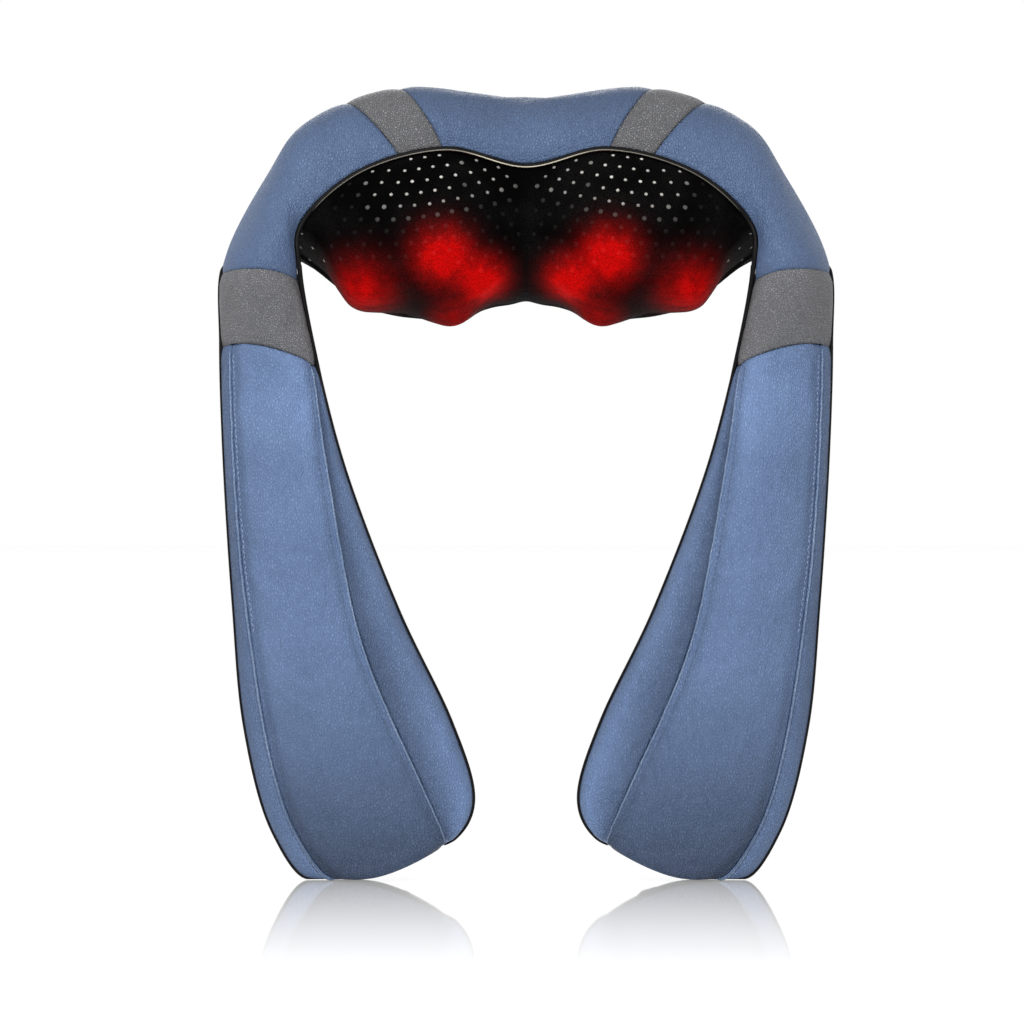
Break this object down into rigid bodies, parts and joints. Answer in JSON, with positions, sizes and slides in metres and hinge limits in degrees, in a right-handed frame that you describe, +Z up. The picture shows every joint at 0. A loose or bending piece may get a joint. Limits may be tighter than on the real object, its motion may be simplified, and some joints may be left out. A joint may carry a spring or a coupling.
{
  "type": "shiatsu neck massager",
  "caption": "U-shaped shiatsu neck and shoulder massager: padded yoke with two geared kneading heads behind a perforated cover, and two hand-pocket arms.",
  "frame": {"origin": "on the floor, under the middle of the object, midway across and midway from front to back", "axes": "+Z up, upright on its arm ends; +X to the viewer's right; the front, with the massage cover and the arms' leather faces, looks along -Y"},
  "size_m": [0.402, 0.1657, 0.5125],
  "materials": {
    "blue_leather": "embossed PU leather, semi-matt",
    "gray_leather": "fine-grained PU leather",
    "black_cover": "perforated stretch cover",
    "black_lining": "woven lining",
    "black_piping": "glossy vinyl piping",
    "foam": "open-cell foam",
    "moulding": "moulded ABS",
    "nylon": "natural nylon",
    "red_lens": "translucent red plastic",
    "steel": "turned steel",
    "bronze": "sintered bronze",
    "board": "glass-epoxy board",
    "battery_wrap": "shrink sleeve",
    "button_gray": "silicone-coated plastic",
    "clear_lens": "diffusing plastic",
    "wire": "silicone insulation"
  },
  "bodies": {
    "strap": {"center_panel": "blue_leather", "left_yoke_band": "gray_leather", "right_yoke_band": "gray_leather", "left_shoulder_panel": "blue_leather", "right_shoulder_panel": "blue_leather", "massage_cover": "black_cover", "cover_piping": "black_piping", "zip_tape": "black_lining", "yoke_foam": "foam", "left_arm_band": "gray_leather", "right_arm_band": "gray_leather", "left_arm_front": "blue_leather", "right_arm_front": "blue_leather", "left_inner_gusset": "blue_leather", "right_inner_gusset": "blue_leather", "left_outer_gusset": "blue_leather", "right_outer_gusset": "blue_leather", "left_arm_lining": "black_lining", "right_arm_lining": "black_lining", "left_inner_piping": "black_piping", "right_inner_piping": "black_piping", "left_outer_piping": "black_piping", "right_outer_piping": "black_piping", "left_arm_foam": "foam", "right_arm_foam": "foam", "front_frame": "moulding", "rear_casing": "moulding", "casing_screws": "steel", "shaft_bushes": "bronze", "worm_bushes": "bronze", "motor_can": "steel", "motor_cap": "moulding", "battery_pack": "battery_wrap", "control_board": "board", "left_led_board": "board", "right_led_board": "board", "wiring_harness": "wire", "control_bezel": "moulding", "keypad_board": "board", "charge_socket": "steel", "status_lens": "clear_lens"},
    "left_head": {"left_output_shaft": "steel", "left_worm_wheel": "nylon", "left_head_carrier": "moulding", "left_large_nodes": "red_lens", "left_small_nodes": "red_lens"},
    "right_head": {"right_output_shaft": "steel", "right_worm_wheel": "nylon", "right_head_carrier": "moulding", "right_large_nodes": "red_lens", "right_small_nodes": "red_lens"},
    "worm_shaft": {"drive_shaft": "steel"},
    "zip_slider": {"zip_slider": "steel"},
    "zip_pull": {"zip_pull": "steel"},
    "power_button": {"power_button": "button_gray"},
    "heat_button": {"heat_button": "button_gray"},
    "direction_button": {"direction_button": "button_gray"},
    "speed_button": {"speed_button": "button_gray"}
  },
  "joints": [
    {"name": "left_head_spin", "type": "hinge", "parent": "strap", "child": "left_head", "pos_m": [-0.062, -0.031, 0.418], "axis": [0, -0.8192, -0.5736], "continuous": true},
    {"name": "right_head_spin", "type": "hinge", "parent": "strap", "child": "right_head", "pos_m": [0.062, -0.031, 0.418], "axis": [0, -0.8192, -0.5736], "continuous": true},
    {"name": "drive_spin", "type": "hinge", "parent": "strap", "child": "worm_shaft", "pos_m": [0, 0.00238, 0.4078], "axis": [1, 0, 0], "continuous": true},
    {"name": "power_press", "type": "slide", "parent": "strap", "child": "power_button", "axis": [0, -0.837, -0.5472], "range_m": [0, 0.0009], "stiffness_N_per_m": 900, "springref_m": -0.0012},
    {"name": "heat_press", "type": "slide", "parent": "strap", "child": "heat_button", "axis": [0, -0.837, -0.5472], "range_m": [0, 0.0009], "stiffness_N_per_m": 900, "springref_m": -0.0012},
    {"name": "direction_press", "type": "slide", "parent": "strap", "child": "direction_button", "axis": [0, -0.837, -0.5472], "range_m": [0, 0.0009], "stiffness_N_per_m": 900, "springref_m": -0.0012},
    {"name": "speed_press", "type": "slide", "parent": "strap", "child": "speed_button", "axis": [0, -0.837, -0.5472], "range_m": [0, 0.0009], "stiffness_N_per_m": 900, "springref_m": -0.0012},
    {"name": "zip_run", "type": "slide", "parent": "strap", "child": "zip_slider", "axis": [1, 0, 0], "range_m": [-0.112, 0]},
    {"name": "pull_swing", "type": "hinge", "parent": "zip_slider", "child": "zip_pull", "pos_m": [0.058, 0.07058, 0.37947], "axis": [0, -0.5767, -0.817], "range_deg": [-75, 75]}
  ],
  "couplings": [
    {"joint": "right_head_spin", "follows": "left_head_spin", "ratio": -1},
    {"joint": "drive_spin", "follows": "left_head_spin", "ratio": -36}
  ]
}
